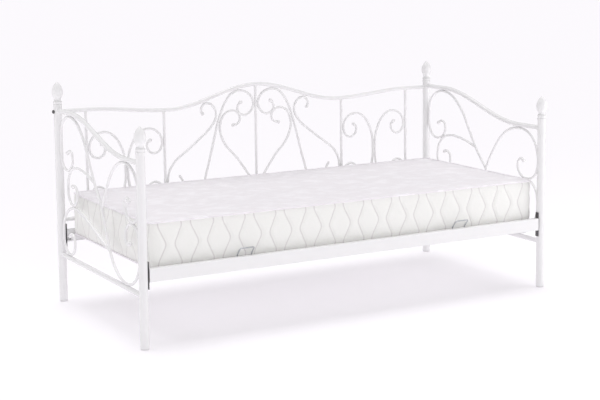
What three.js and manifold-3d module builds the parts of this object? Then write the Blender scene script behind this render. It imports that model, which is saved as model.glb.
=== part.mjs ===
// A steel daybed: two scroll ends, a scroll back, hook-on side rails, a welded base grid, and a mattress.
// Millimetres. +X runs along the bed, +Y towards the back, +Z up. The origin is on the floor, midway
// between the four posts.
import * as THREE from 'three'
import Module from 'manifold-3d'
import { mergeVertices } from 'three/addons/utils/BufferGeometryUtils.js'

const wasm = await Module()
wasm.setup()

// ---------------------------------------------------------------- driving dimensions
const GAP = 0.3 // clearance between pieces that touch

const MATTRESS_LENGTH = 2000
const MATTRESS_WIDTH = 900
const MATTRESS_THICK = 200
const MATTRESS_CORNER_R = 32
const MATTRESS_EDGE_R = 14
const END_ROOM = 25 // from the mattress to the axis of each end, on average
const MATTRESS_SHIFT = 11 // how far it is pushed towards the right end
const SIDE_ROOM = 27.5 // from the mattress to the axes of the front and back

const POST_R = 19
const POST_WALL = 1.5
const REAR_HEIGHT = 1028 // floor to finial tip
const FRONT_HEIGHT = 920
const FINIAL_HEIGHT = 112 // collar to tip
const PLUG_DEPTH = 16 // finial plug inside the post
const COLLAR_PROUD = 1.8 // how far the finial's collar stands out past the post
const BUD_R = 25.4 // the finial's widest place
const WAIST_R = 15.5
const FOOT_HEIGHT = 6
const FOOT_PLUG = 18 // glide plug inside the post

const END_TUBE_R = 11 // top and bottom tubes of each end
const END_TUBE_WALL = 1.5
const END_TOP_REAR_DROP = 20 // from the top of the rear post down to the tube's axis
const END_TOP_FRONT_DROP = 40
const END_BOTTOM_Z = 223

const BACK_TUBE_R = 9.5 // top and bottom tubes of the back
const BACK_TUBE_WALL = 1.5
const BACK_SHOULDER_DROP = 26 // from the top of the post down to the top tube's axis
const BACK_CREST_RISE = 71 // the crown of the top tube above its ends
const BACK_DIP = 27 // the hollows beside the crown below its ends
const BACK_BOTTOM_Z = 385
const OUTER_GAP = 135 // from the post's axis to the outer upright
const BAY_WIDTH = 395 // from the outer upright to the inner one
const UPRIGHT_R = 6.5

const ROD_R = 6 // scroll rods
const BUTTON_R = 9.5 // the forged button on a scroll's end

const RAIL_TOP_Z = 337
const RAIL_HEIGHT = 57
const RAIL_DEPTH = 22
const RAIL_WALL = 1.5
const RAIL_PROUD = 14 // how far the rail's face stands outside the post axis
const LEDGE_WIDTH = 24
const LEDGE_DROP = 50 // from the rail's top down to the underside of the ledge that carries the base
const LEDGE_THICK = 3

const HOOK_PLATE_HEIGHT = 115
const HOOK_PLATE_RISE = 28 // above the rail's top
const HOOK_PLATE_WIDTH = 20
const HOOK_PLATE_THICK = 3
const HOOK_THICK = 4
const HOOK_REACH = 9
const HOOK_NECK = 12 // height of the hook where it passes the post's wall
const HOOK_NOSE = 9 // how far the nose drops behind the wall
const HOOK_PITCH = 64
const SLOT_CLEARANCE = 1

const RUNNER_WIDTH = 21
const RUNNER_HEIGHT = 25
const RUNNER_WALL = 1.5
const RUNNER_SIDE_ROOM = 1 // between a runner and its rail
const RUNNER_END_ROOM = 12 // between a runner's end and the rail's end
const STRIP_COUNT = 13
const STRIP_MARGIN = 49 // from the runner's end to the first strip
const STRIP_WIDTH = 40
const STRIP_THICK = 3
const STRIP_SHORT = 2 // how far a strip stops short of the runners' outer faces

const WIRE_R = 3 // mattress stop
const WIRE_BEND = 9 // from a bend's corner to where the wire runs straight
const STOP_X = 555
const STOP_WIDTH = 68
const STOP_RISE = 37 // above the rail
const STOP_LEAN = 29 // how far its top leans outwards
const STOP_SEAT = 13 // how deep it sits in the runner
const STOP_HOLE_SHIFT = 4 // its holes lie this far in front of the runner's middle

const BOLT_SHANK_R = 4
const BOLT_HEAD_R = 9
const BOLT_HEAD_THICK = 7
const BOLT_GRIP = 30 // thread inside the back's top tube

const HALF_X = MATTRESS_LENGTH / 2 + END_ROOM
const HALF_Y = MATTRESS_WIDTH / 2 + SIDE_ROOM
const POST_SPAN_X = 2 * HALF_X
const POST_SPAN_Y = 2 * HALF_Y
const REAR_TOP = REAR_HEIGHT - FINIAL_HEIGHT // tops of the posts' tubes
const FRONT_TOP = FRONT_HEIGHT - FINIAL_HEIGHT
const BACK_SHOULDER_Z = REAR_TOP - BACK_SHOULDER_DROP
const LEDGE_Z = RAIL_TOP_Z - LEDGE_DROP
const HOOK_PLATE_BOTTOM_Z = RAIL_TOP_Z + HOOK_PLATE_RISE - HOOK_PLATE_HEIGHT
const OUTER_UPRIGHT_X = HALF_X - OUTER_GAP
const INNER_UPRIGHT_X = OUTER_UPRIGHT_X - BAY_WIDTH
const ROUND = 14 // sides of the posts
const OVERCUT = 1 // how far a cutter runs past what it cuts, and a joined piece into its neighbour

// ---------------------------------------------------------------- finishes
const finish = (color, roughness, metalness) =>
  new THREE.MeshStandardMaterial({ color, roughness, metalness })
const whiteEnamel = finish(0xf2f1f3, 0.35, 0)
const blackenedSteel = finish(0x2a2a2c, 0.5, 0.6)
const zincWire = finish(0xb9bcbf, 0.35, 0.8)
const whitePlastic = finish(0xe9e9ea, 0.5, 0)
const ticking = finish(0xf1eff1, 0.9, 0)

// ---------------------------------------------------------------- solids
const v3 = (x, y, z) => new THREE.Vector3(x, y, z)

// A closed three.js geometry as a solid that can be cut and joined.
function solid(geometry) {
  const bare = geometry.index ? geometry.toNonIndexed() : geometry
  const positions = new THREE.BufferGeometry().setAttribute('position', bare.getAttribute('position'))
  const merged = mergeVertices(positions, 1e-3)
  return new wasm.Manifold(new wasm.Mesh({
    numProp: 3,
    vertProperties: merged.attributes.position.array,
    triVerts: new Uint32Array(merged.index.array),
  }))
}

function geometryOf(made) {
  const mesh = made.getMesh()
  const geometry = new THREE.BufferGeometry()
  geometry.setAttribute('position', new THREE.BufferAttribute(mesh.vertProperties, 3))
  geometry.setIndex(new THREE.BufferAttribute(mesh.triVerts, 1))
  return geometry
}

const box = (low, high) => solid(new THREE.BoxGeometry(high.x - low.x, high.y - low.y, high.z - low.z)
  .translate((low.x + high.x) / 2, (low.y + high.y) / 2, (low.z + high.z) / 2))

// A round bar between two points.
function bar(from, to, radius, sides = 12) {
  const along = to.clone().sub(from)
  const geometry = new THREE.CylinderGeometry(radius, radius, along.length(), sides)
  geometry.applyQuaternion(new THREE.Quaternion().setFromUnitVectors(v3(0, 1, 0), along.normalize()))
  geometry.translate((from.x + to.x) / 2, (from.y + to.y) / 2, (from.z + to.z) / 2)
  return solid(geometry)
}

// A round section swept along a curve, with an optional bore.
function swept(curve, steps, radius, boreRadius = 0, sides = 8) {
  const circle = (r, clockwise) => {
    const points = []
    for (let i = 0; i < sides; i++) {
      const a = (clockwise ? -1 : 1) * 2 * Math.PI * i / sides
      points.push(new THREE.Vector2(r * Math.cos(a), r * Math.sin(a)))
    }
    return points
  }
  const section = new THREE.Shape(circle(radius, false))
  if (boreRadius > 0) section.holes.push(new THREE.Path(circle(boreRadius, true)))
  return solid(new THREE.ExtrudeGeometry(section, { steps, extrudePath: curve, bevelEnabled: false }))
}

// The biggest body left after a cut.
const largest = (made) => made.decompose().reduce((a, b) => (b.volume() > a.volume() ? b : a))

// ---------------------------------------------------------------- the assembly
const daybed = new THREE.Group()

function place(name, made, material) {
  const mesh = new THREE.Mesh(geometryOf(made), material)
  mesh.name = name
  daybed.add(mesh)
}

const SIDES = [['left', -1], ['right', 1]]
const ROWS = [['rear', 1], ['front', -1]]
const postTop = (row) => (row > 0 ? REAR_TOP : FRONT_TOP)

// ---- posts, with slots for the rail hooks and holes for the back's bolts
const hookZ = [-1, 1].map((k) => HOOK_PLATE_BOTTOM_Z + HOOK_PLATE_HEIGHT / 2 + k * HOOK_PITCH / 2)

function post(side, row) {
  const x = side * HALF_X
  const y = row * HALF_Y
  const top = postTop(row)
  let made = bar(v3(x, y, FOOT_HEIGHT), v3(x, y, top), POST_R, ROUND)
    .subtract(bar(v3(x, y, FOOT_HEIGHT - OVERCUT), v3(x, y, top + OVERCUT), POST_R - POST_WALL, ROUND))
  const slotHalf = HOOK_THICK / 2 + SLOT_CLEARANCE
  const reach = POST_R + OVERCUT
  for (const z of hookZ) {
    made = made.subtract(box(
      v3(Math.min(x, x - side * reach), y - slotHalf, z - HOOK_NECK / 2 - HOOK_NOSE - SLOT_CLEARANCE),
      v3(Math.max(x, x - side * reach), y + slotHalf, z + HOOK_NECK / 2 + SLOT_CLEARANCE),
    ))
  }
  if (row < 0) return made
  return made.subtract(bar(
    v3(x - reach, y, BACK_SHOULDER_Z), v3(x + reach, y, BACK_SHOULDER_Z), BOLT_SHANK_R + GAP))
}

// ---- finials: a plug, a collar, a waist and a bud, turned in one piece
function finial(side, row) {
  const plug = POST_R - POST_WALL - 2 * GAP
  const collar = POST_R + COLLAR_PROUD
  const profile = [
    [0, -PLUG_DEPTH], [plug - 2, -PLUG_DEPTH], [plug, 3 - PLUG_DEPTH], [plug, GAP],
    [collar, GAP], [collar, 8], [collar - 1.6, 9], [collar - 1.6, 14], [collar, 17], [collar - 2, 22],
    [WAIST_R, 28], [WAIST_R, 33], [BUD_R * 0.83, 44], [BUD_R, 60], [BUD_R, 69], [BUD_R * 0.83, 86.5],
    [BUD_R * 0.43, 102.2], [1.5, FINIAL_HEIGHT], [0, FINIAL_HEIGHT],
  ]
  const geometry = new THREE.LatheGeometry(profile.map(([r, z]) => new THREE.Vector2(r, z)), 12)
  geometry.rotateX(Math.PI / 2)
  geometry.translate(side * HALF_X, row * HALF_Y, postTop(row))
  return solid(geometry)
}

// ---- feet: a plastic glide plugged into the post
function foot(side, row) {
  const x = side * HALF_X
  const y = row * HALF_Y
  const plug = POST_R - POST_WALL - 2 * GAP
  return bar(v3(x, y, 0), v3(x, y, FOOT_HEIGHT - GAP), POST_R, ROUND)
    .add(bar(v3(x, y, FOOT_HEIGHT / 2), v3(x, y, FOOT_HEIGHT + FOOT_PLUG), plug, ROUND))
}

for (const [rowName, row] of ROWS) {
  for (const [sideName, side] of SIDES) {
    place(`post_${rowName}_${sideName}`, post(side, row), whiteEnamel)
    place(`finial_${rowName}_${sideName}`, finial(side, row), whiteEnamel)
    place(`foot_${rowName}_${sideName}`, foot(side, row), whitePlastic)
  }
}

// What a tube or rod is coped to where it meets a post.
const postShadow = (side, row) => bar(
  v3(side * HALF_X, row * HALF_Y, FOOT_HEIGHT),
  v3(side * HALF_X, row * HALF_Y, postTop(row)),
  POST_R + GAP,
  ROUND,
)

// A smooth curve whose steps follow its points, so they crowd where the points do, in the curls.
class PointedCurve extends THREE.CatmullRomCurve3 {
  getUtoTmapping(u) {
    return u
  }
}

// ---- a scroll rod: a smooth line through its points, a forged button at each curled end. Its neighbours
// are cut back from the same rod a little thicker.
const STEPS_PER_POINT = 1.5
const ROD_ROOM = GAP * 1.2 // a little over the clearance, because the rods are faceted
function scroll(points, buttons, extra = 0) {
  const curve = new PointedCurve(points, false, 'centripetal')
  let made = swept(curve, Math.round((points.length - 1) * STEPS_PER_POINT), ROD_R + extra, 0, 6)
  for (const end of buttons) {
    const button = new THREE.SphereGeometry(BUTTON_R + extra, 6, 4)
    button.translate(points.at(end).x, points.at(end).y, points.at(end).z)
    made = made.add(solid(button))
  }
  return made
}

// Places scrolls one after another, each coped to the tubes and to the scrolls placed before it.
function placeScrolls(scrolls, neighbours) {
  const met = [...neighbours]
  for (const { name, points, buttons } of scrolls) {
    let made = scroll(points, buttons)
    for (const neighbour of met) made = made.subtract(neighbour)
    place(name, largest(made), whiteEnamel)
    met.push(scroll(points, buttons, ROD_ROOM))
  }
}

// ---- ends: u runs forward from the rear post's axis, z up
const endPoint = (side, u, z) => v3(side * HALF_X, HALF_Y - u, z)

// A panel's outline: its span between post axes, the posts' radius, and its top and bottom tubes' heights.
// Scrolls are drawn on a panel of one size and stretched onto the one that is built.
const END_PANEL = {
  span: POST_SPAN_Y, postR: POST_R, low: END_BOTTOM_Z,
  rear: REAR_TOP - END_TOP_REAR_DROP, front: FRONT_TOP - END_TOP_FRONT_DROP,
}
const DRAWN_END = { span: 955, postR: 19, low: 223, rear: 896, front: 768 }

// The top tube swoops down from the rear post to the front one, over this middle share of the span.
const SWOOP_START = 0.17
const SWOOP_END = 0.82
function endTopZ(panel, u) {
  const t = THREE.MathUtils.clamp((u / panel.span - SWOOP_START) / (SWOOP_END - SWOOP_START), 0, 1)
  return (panel.rear + panel.front) / 2 + (panel.rear - panel.front) / 2 * Math.cos(Math.PI * t)
}

function ontoEnd([u, z]) {
  const stretch = (END_PANEL.span - 2 * END_PANEL.postR) / (DRAWN_END.span - 2 * DRAWN_END.postR)
  const across = END_PANEL.postR + (u - DRAWN_END.postR) * stretch
  const share = (z - DRAWN_END.low) / (endTopZ(DRAWN_END, u) - DRAWN_END.low)
  return [across, END_PANEL.low + share * (endTopZ(END_PANEL, across) - END_PANEL.low)]
}

const END_STATIONS = 20
const END_STEPS = 15
function endTopCurve(side) {
  const points = []
  for (let i = 0; i <= END_STATIONS; i++) {
    const u = POST_SPAN_Y * i / END_STATIONS
    points.push(endPoint(side, u, endTopZ(END_PANEL, u)))
  }
  return new THREE.CatmullRomCurve3(points)
}

// Five scrolls fill each end. The first three meet at the heart of the panel.
const END_SCROLLS = [
  ['upper_rear', [[522, 522], [445, 608], [370, 720], [322, 790], [240, 858], [150, 879], [78, 860],
    [38, 815], [27, 755], [30, 690], [56, 645], [100, 630], [150, 645], [176, 682], [165, 715],
    [134, 722], [106, 704]]],
  ['upper_front', [[522, 522], [580, 615], [648, 697], [715, 738], [790, 751], [856, 737], [904, 697],
    [928, 640], [929, 580], [908, 535], [866, 513], [817, 517], [784, 547], [780, 584], [803, 606],
    [833, 592]]],
  ['lower_front', [[522, 522], [545, 467], [567, 415], [590, 365], [622, 316], [668, 273], [727, 247],
    [790, 240], [852, 256], [901, 300], [928, 360], [929, 425], [908, 478], [866, 502], [817, 497],
    [784, 467], [780, 430], [803, 408], [833, 423]]],
  ['middle_rear', [[437, 618], [360, 640], [290, 652], [225, 655], [160, 638], [122, 602], [106, 555],
    [112, 510], [143, 481], [188, 482], [220, 513], [218, 550], [190, 570], [160, 560]]],
  ['lower_rear', [[603, 345], [520, 374], [440, 402], [360, 430], [280, 453], [200, 466], [120, 453],
    [58, 408], [29, 345], [38, 285], [78, 247], [132, 244], [171, 277], [171, 320], [138, 341],
    [108, 322]]],
]

for (const [sideName, side] of SIDES) {
  const posts = [postShadow(side, 1), postShadow(side, -1)]
  const top = endTopCurve(side)
  const low = [endPoint(side, 0, END_BOTTOM_Z), endPoint(side, POST_SPAN_Y, END_BOTTOM_Z)]
  const trim = (tube) => largest(posts.reduce((made, p) => made.subtract(p), tube))
  const topTube = swept(top, END_STEPS, END_TUBE_R, END_TUBE_R - END_TUBE_WALL)
  const lowTube = bar(...low, END_TUBE_R).subtract(bar(...low, END_TUBE_R - END_TUBE_WALL))
  place(`end_top_tube_${sideName}`, trim(topTube), whiteEnamel)
  place(`end_bottom_tube_${sideName}`, trim(lowTube), whiteEnamel)
  const shadows = [swept(top, END_STEPS, END_TUBE_R + GAP), bar(...low, END_TUBE_R + GAP)]
  placeScrolls(END_SCROLLS.map(([name, outline]) => ({
    name: `scroll_${name}_${sideName}`,
    points: outline.map((drawn) => endPoint(side, ...ontoEnd(drawn))),
    buttons: [-1],
  })), [...posts, ...shadows])
}

// ---- back: a camel-backed top tube, a bottom tube, five uprights and ten scrolls
const backPoint = (x, z) => v3(x, HALF_Y, z)

const BACK_PANEL = {
  inner: INNER_UPRIGHT_X, bay: BAY_WIDTH, low: BACK_BOTTOM_Z,
  shoulder: BACK_SHOULDER_Z, crest: BACK_SHOULDER_Z + BACK_CREST_RISE, dip: BACK_SHOULDER_Z - BACK_DIP,
}
const DRAWN_BACK = { inner: 495, bay: 395, low: 385, shoulder: 890, crest: 961, dip: 863 }

// The crown falls to the hollows just inside the inner uprights, then the tube rises to the outer ones.
const CREST_SHARE = 0.95
function backTopZ(panel, x) {
  const away = Math.abs(x)
  const hollow = CREST_SHARE * panel.inner
  if (away < hollow) {
    return (panel.crest + panel.dip) / 2 + (panel.crest - panel.dip) / 2 * Math.cos(Math.PI * away / hollow)
  }
  const t = Math.min((away - hollow) / (panel.inner + panel.bay - hollow), 1)
  return (panel.shoulder + panel.dip) / 2 - (panel.shoulder - panel.dip) / 2 * Math.cos(Math.PI * t)
}

// The bays' scrolls keep their place between their two uprights, the others theirs inside the inner ones.
function ontoBack([x, z]) {
  const away = Math.abs(x)
  const inBay = away > DRAWN_BACK.inner
  const across = inBay
    ? BACK_PANEL.inner + (away - DRAWN_BACK.inner) * BACK_PANEL.bay / DRAWN_BACK.bay
    : away * BACK_PANEL.inner / DRAWN_BACK.inner
  const share = (z - DRAWN_BACK.low) / (backTopZ(DRAWN_BACK, away) - DRAWN_BACK.low)
  return [Math.sign(x) * across, BACK_PANEL.low + share * (backTopZ(BACK_PANEL, across) - BACK_PANEL.low)]
}

const BACK_STATIONS = 40
const BACK_STEPS = 30
const backTopPoints = []
for (let i = 0; i <= BACK_STATIONS; i++) {
  const x = -HALF_X + POST_SPAN_X * i / BACK_STATIONS
  backTopPoints.push(backPoint(x, backTopZ(BACK_PANEL, x)))
}
const backTopCurve = new THREE.CatmullRomCurve3(backTopPoints)
const rearPosts = [postShadow(-1, 1), postShadow(1, 1)]
const trimBack = (tube) => largest(rearPosts.reduce((made, p) => made.subtract(p), tube))

// Each end of the top tube holds a threaded plug for the bolt through the post.
let backTop = swept(backTopCurve, BACK_STEPS, BACK_TUBE_R, BACK_TUBE_R - BACK_TUBE_WALL)
for (const [, side] of SIDES) {
  const axis = backPoint(side * HALF_X, BACK_SHOULDER_Z)
  const plugEnd = backPoint(side * (HALF_X - POST_R - BOLT_GRIP), BACK_SHOULDER_Z)
  const boreEnd = backPoint(plugEnd.x - side * OVERCUT, BACK_SHOULDER_Z)
  backTop = backTop
    .add(bar(axis, plugEnd, BACK_TUBE_R - BACK_TUBE_WALL / 2))
    .subtract(bar(axis, boreEnd, BOLT_SHANK_R + GAP))
}
place('back_top_tube', trimBack(backTop), whiteEnamel)

const backLow = [backPoint(-HALF_X, BACK_BOTTOM_Z), backPoint(HALF_X, BACK_BOTTOM_Z)]
const backBottom = bar(...backLow, BACK_TUBE_R).subtract(bar(...backLow, BACK_TUBE_R - BACK_TUBE_WALL))
place('back_bottom_tube', trimBack(backBottom), whiteEnamel)

const backTubes = [swept(backTopCurve, BACK_STEPS, BACK_TUBE_R + GAP), bar(...backLow, BACK_TUBE_R + GAP)]
const UPRIGHT_SIDES = 10
const UPRIGHTS = [
  ['outer_left', -OUTER_UPRIGHT_X], ['inner_left', -INNER_UPRIGHT_X], ['centre', 0],
  ['inner_right', INNER_UPRIGHT_X], ['outer_right', OUTER_UPRIGHT_X],
]
for (const [name, x] of UPRIGHTS) {
  const head = backPoint(x, backTopZ(BACK_PANEL, x))
  let made = bar(backPoint(x, BACK_BOTTOM_Z), head, UPRIGHT_R, UPRIGHT_SIDES)
  for (const tube of backTubes) made = made.subtract(tube)
  place(`upright_${name}`, largest(made), whiteEnamel)
}
const uprightShadows = UPRIGHTS.map(([, x]) => bar(
  backPoint(x, BACK_BOTTOM_Z), backPoint(x, BACK_PANEL.crest), UPRIGHT_R + GAP, UPRIGHT_SIDES))

// Three scrolls each side of the centre upright, x away from it.
const CENTRE_SCROLLS = [
  ['crest', [-1], [[318, 390], [285, 508], [256, 610], [222, 738], [203, 802], [171, 876], [134, 920],
    [87, 934], [37, 915], [13, 874], [24, 833], [60, 811], [97, 828], [98, 860], [76, 881]]],
  ['heart', [-1], [[3, 452], [40, 507], [109, 603], [168, 667], [197, 735], [194, 785], [171, 824],
    [133, 838], [99, 824], [88, 794], [104, 769], [136, 763]]],
  ['sweep', [0, -1], [[420, 539], [402, 507], [401, 455], [423, 414], [457, 408], [479, 443],
    [482, 500], [475, 557], [445, 607], [345, 682], [256, 755], [222, 803], [221, 843], [247, 876],
    [281, 879], [299, 853], [288, 822]]],
]

// A pair of C-scrolls, back to back, fills the bay between two uprights. Both halves of a C are alike,
// above and below its middle.
const BAY_CENTRE_X = DRAWN_BACK.inner + DRAWN_BACK.bay / 2
const C_MIDDLE_Z = 590
const C_HALF = [[8, 50], [22, 105], [55, 161], [100, 188], [147, 181], [178, 150], [184, 110],
  [168, 78], [138, 69], [111, 88], [108, 119], [131, 138]]

const mirrorName = (s) => (s < 0 ? 'left' : 'right')
const backScrolls = []
for (const s of [-1, 1]) {
  for (const [name, buttons, outline] of CENTRE_SCROLLS) {
    const points = outline.map(([x, z]) => backPoint(...ontoBack([s * x, z])))
    backScrolls.push({ name: `scroll_${name}_${mirrorName(s)}`, buttons, points })
  }
  for (const turn of [-1, 1]) {
    const stem = ROD_R + GAP
    const half = (up) => C_HALF.map(([x, z]) => [s * (BAY_CENTRE_X + turn * x), C_MIDDLE_Z + up * z])
    const middle = [s * (BAY_CENTRE_X + turn * stem), C_MIDDLE_Z]
    backScrolls.push({
      name: `scroll_bay_${turn < 0 ? 'inner' : 'outer'}_${mirrorName(s)}`,
      buttons: [0, -1],
      points: [...half(-1).reverse(), middle, ...half(1)].map((drawn) => backPoint(...ontoBack(drawn))),
    })
  }
}
placeScrolls(backScrolls, [...rearPosts, ...backTubes, ...uprightShadows])

// ---- bolts that hold the back to the rear posts
for (const [sideName, side] of SIDES) {
  const at = (away) => backPoint(side * away, BACK_SHOULDER_Z)
  const face = HALF_X + POST_R + GAP
  const head = bar(at(face), at(face + BOLT_HEAD_THICK), BOLT_HEAD_R)
  const shank = bar(at(face + OVERCUT), at(HALF_X - POST_R - BOLT_GRIP), BOLT_SHANK_R)
  place(`back_bolt_${sideName}`, head.add(shank), blackenedSteel)
}

// ---- side rails: a box section with a ledge inside, and a hook plate at each end
const railEnd = HALF_X - POST_R - HOOK_PLATE_THICK - 2 * GAP

function rail(row) {
  const outer = HALF_Y + RAIL_PROUD
  const inner = outer - RAIL_DEPTH
  const slab = (y0, y1, z0, z1, reach = railEnd) => box(
    v3(-reach, Math.min(row * y0, row * y1), z0), v3(reach, Math.max(row * y0, row * y1), z1))
  return slab(inner, outer, RAIL_TOP_Z - RAIL_HEIGHT, RAIL_TOP_Z)
    .add(slab(inner - LEDGE_WIDTH, inner + RAIL_WALL, LEDGE_Z, LEDGE_Z + LEDGE_THICK))
    .subtract(slab(inner + RAIL_WALL, outer - RAIL_WALL, RAIL_TOP_Z - RAIL_HEIGHT + RAIL_WALL,
      RAIL_TOP_Z - RAIL_WALL, railEnd + OVERCUT))
}

function hookPlate(side, row) {
  const y = row * HALF_Y
  const near = railEnd + GAP
  const span = (x0, x1, halfWidth, z0, z1) => box(
    v3(Math.min(side * x0, side * x1), y - halfWidth, z0),
    v3(Math.max(side * x0, side * x1), y + halfWidth, z1))
  let made = span(near, near + HOOK_PLATE_THICK, HOOK_PLATE_WIDTH / 2,
    HOOK_PLATE_BOTTOM_Z, HOOK_PLATE_BOTTOM_Z + HOOK_PLATE_HEIGHT)
  const throat = HALF_X - POST_R + POST_WALL + 2 * SLOT_CLEARANCE // just inside the post's wall
  const tip = near + HOOK_PLATE_THICK + HOOK_REACH
  for (const z of hookZ) {
    const low = z - HOOK_NECK / 2
    made = made
      .add(span(near + OVERCUT, tip, HOOK_THICK / 2, low, z + HOOK_NECK / 2))
      .add(span(throat, tip, HOOK_THICK / 2, low - HOOK_NOSE, low + OVERCUT))
  }
  return made
}

for (const [rowName, row] of ROWS) {
  place(`side_rail_${rowName}`, rail(row), whiteEnamel)
  for (const [sideName, side] of SIDES) {
    place(`hook_plate_${rowName}_${sideName}`, hookPlate(side, row), blackenedSteel)
  }
}

// ---- base: two square runners on the ledges, with flat steel strips welded across them
const runnerOuter = HALF_Y + RAIL_PROUD - RAIL_DEPTH - RUNNER_SIDE_ROOM
const runnerInner = runnerOuter - RUNNER_WIDTH
const runnerLow = LEDGE_Z + LEDGE_THICK + GAP
const runnerHigh = runnerLow + RUNNER_HEIGHT
const stripTop = runnerHigh + STRIP_THICK
const runnerEnd = railEnd - RUNNER_END_ROOM
const stopHoleY = (runnerOuter + runnerInner) / 2 + STOP_HOLE_SHIFT

function baseGrid() {
  let made = null
  for (const [, row] of ROWS) {
    const [a, b] = [row * runnerInner, row * runnerOuter].sort((p, q) => p - q)
    const runner = box(v3(-runnerEnd, a, runnerLow), v3(runnerEnd, b, runnerHigh)).subtract(box(
      v3(-runnerEnd - OVERCUT, a + RUNNER_WALL, runnerLow + RUNNER_WALL),
      v3(runnerEnd + OVERCUT, b - RUNNER_WALL, runnerHigh - RUNNER_WALL)))
    made = made ? made.add(runner) : runner
  }
  for (let i = 0; i < STRIP_COUNT; i++) {
    const x = (i / (STRIP_COUNT - 1) - 0.5) * 2 * (runnerEnd - STRIP_MARGIN - STRIP_WIDTH / 2)
    made = made.add(box(v3(x - STRIP_WIDTH / 2, STRIP_SHORT - runnerOuter, runnerHigh - RUNNER_WALL / 2),
      v3(x + STRIP_WIDTH / 2, runnerOuter - STRIP_SHORT, stripTop)))
  }
  for (const x of [-STOP_X, STOP_X]) {
    for (const leg of [-STOP_WIDTH / 2, STOP_WIDTH / 2]) {
      made = made.subtract(bar(v3(x + leg, -stopHoleY, runnerLow + RUNNER_WALL + OVERCUT),
        v3(x + leg, -stopHoleY, stripTop + OVERCUT), WIRE_R + 2 * GAP, 8))
    }
  }
  return made
}
place('base_grid', baseGrid(), whiteEnamel)

// ---- mattress stops: bent wire, plugged into the front runner and leaning out over the rail
function mattressStop(x) {
  const half = STOP_WIDTH / 2
  const seat = runnerHigh - STOP_SEAT
  const kneeZ = RAIL_TOP_Z + WIRE_R + OVERCUT
  const topY = -stopHoleY - STOP_LEAN
  const topZ = RAIL_TOP_Z + STOP_RISE
  const path = new THREE.CurvePath()
  const corners = [
    v3(x - half, -stopHoleY, seat), v3(x - half, -stopHoleY, kneeZ), v3(x - half, topY, topZ),
    v3(x + half, topY, topZ), v3(x + half, -stopHoleY, kneeZ), v3(x + half, -stopHoleY, seat),
  ]
  const towards = (from, to, distance) => from.clone().add(to.clone().sub(from).setLength(distance))
  let here = corners[0]
  for (let i = 1; i < corners.length - 1; i++) {
    const into = towards(corners[i], corners[i - 1], WIRE_BEND)
    const out = towards(corners[i], corners[i + 1], WIRE_BEND)
    path.add(new THREE.LineCurve3(here, into))
    path.add(new THREE.QuadraticBezierCurve3(into, corners[i], out))
    here = out
  }
  path.add(new THREE.LineCurve3(here, corners.at(-1)))
  return swept(path, 26, WIRE_R, 0, 6)
}
place('mattress_stop_left', mattressStop(-STOP_X), zincWire)
place('mattress_stop_right', mattressStop(STOP_X), zincWire)

// ---- mattress: a rounded slab
function mattress() {
  const halfL = MATTRESS_LENGTH / 2 - MATTRESS_EDGE_R
  const halfW = MATTRESS_WIDTH / 2 - MATTRESS_EDGE_R
  const r = MATTRESS_CORNER_R - MATTRESS_EDGE_R
  const plan = new THREE.Shape()
  plan.moveTo(-halfL + r, -halfW)
  plan.lineTo(halfL - r, -halfW)
  plan.absarc(halfL - r, -halfW + r, r, -Math.PI / 2, 0)
  plan.lineTo(halfL, halfW - r)
  plan.absarc(halfL - r, halfW - r, r, 0, Math.PI / 2)
  plan.lineTo(-halfL + r, halfW)
  plan.absarc(-halfL + r, halfW - r, r, Math.PI / 2, Math.PI)
  plan.lineTo(-halfL, -halfW + r)
  plan.absarc(-halfL + r, -halfW + r, r, Math.PI, 1.5 * Math.PI)
  const geometry = new THREE.ExtrudeGeometry(plan, {
    depth: MATTRESS_THICK - 2 * MATTRESS_EDGE_R,
    bevelEnabled: true,
    bevelSize: MATTRESS_EDGE_R,
    bevelThickness: MATTRESS_EDGE_R,
    bevelSegments: 2,
    curveSegments: 3,
  })
  geometry.translate(MATTRESS_SHIFT, 0, stripTop + GAP + MATTRESS_EDGE_R)
  return solid(geometry)
}
place('mattress', mattress(), ticking)

export default daybed
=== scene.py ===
import math

import bmesh
import bpy
import numpy as np
from mathutils import Matrix, Vector, noise


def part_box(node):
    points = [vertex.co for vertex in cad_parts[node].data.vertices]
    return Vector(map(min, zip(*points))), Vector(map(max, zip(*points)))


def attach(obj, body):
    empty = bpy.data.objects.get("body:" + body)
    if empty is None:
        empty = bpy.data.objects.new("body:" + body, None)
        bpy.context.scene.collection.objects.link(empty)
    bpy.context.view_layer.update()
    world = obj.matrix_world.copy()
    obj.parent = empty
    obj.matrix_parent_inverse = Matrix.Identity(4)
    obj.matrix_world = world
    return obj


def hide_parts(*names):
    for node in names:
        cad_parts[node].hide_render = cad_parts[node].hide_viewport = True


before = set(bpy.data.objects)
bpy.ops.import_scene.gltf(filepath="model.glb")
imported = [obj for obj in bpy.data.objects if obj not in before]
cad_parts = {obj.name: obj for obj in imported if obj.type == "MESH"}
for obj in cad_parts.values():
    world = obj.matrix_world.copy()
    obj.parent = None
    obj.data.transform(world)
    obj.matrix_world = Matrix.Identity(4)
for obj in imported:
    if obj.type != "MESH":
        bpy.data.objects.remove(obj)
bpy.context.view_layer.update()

# ---------------------------------------------------------------- posts
# Four round steel tubes, cold drawn, welded up with their end panels and powder coated in one go. The tubes
# are open at the top, where the finials plug in, and at the foot, where the glides do.
ENAMEL_WHITE = "F2F1F2"
ENAMEL_THICK = "EDEDED"  # where the powder lies a little thicker
PEEL_SIZE = 0.0022  # the coat's orange peel, crest to crest
MOTTLE_SIZE = 0.09
TUBE_SIDES = 40
POST_RADIUS = 0.019
POST_WALL = 0.0015
RIM_BEVEL = 0.0006
SIDES = (("left", -1), ("right", 1))
ROWS = ("rear", "front")


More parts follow.
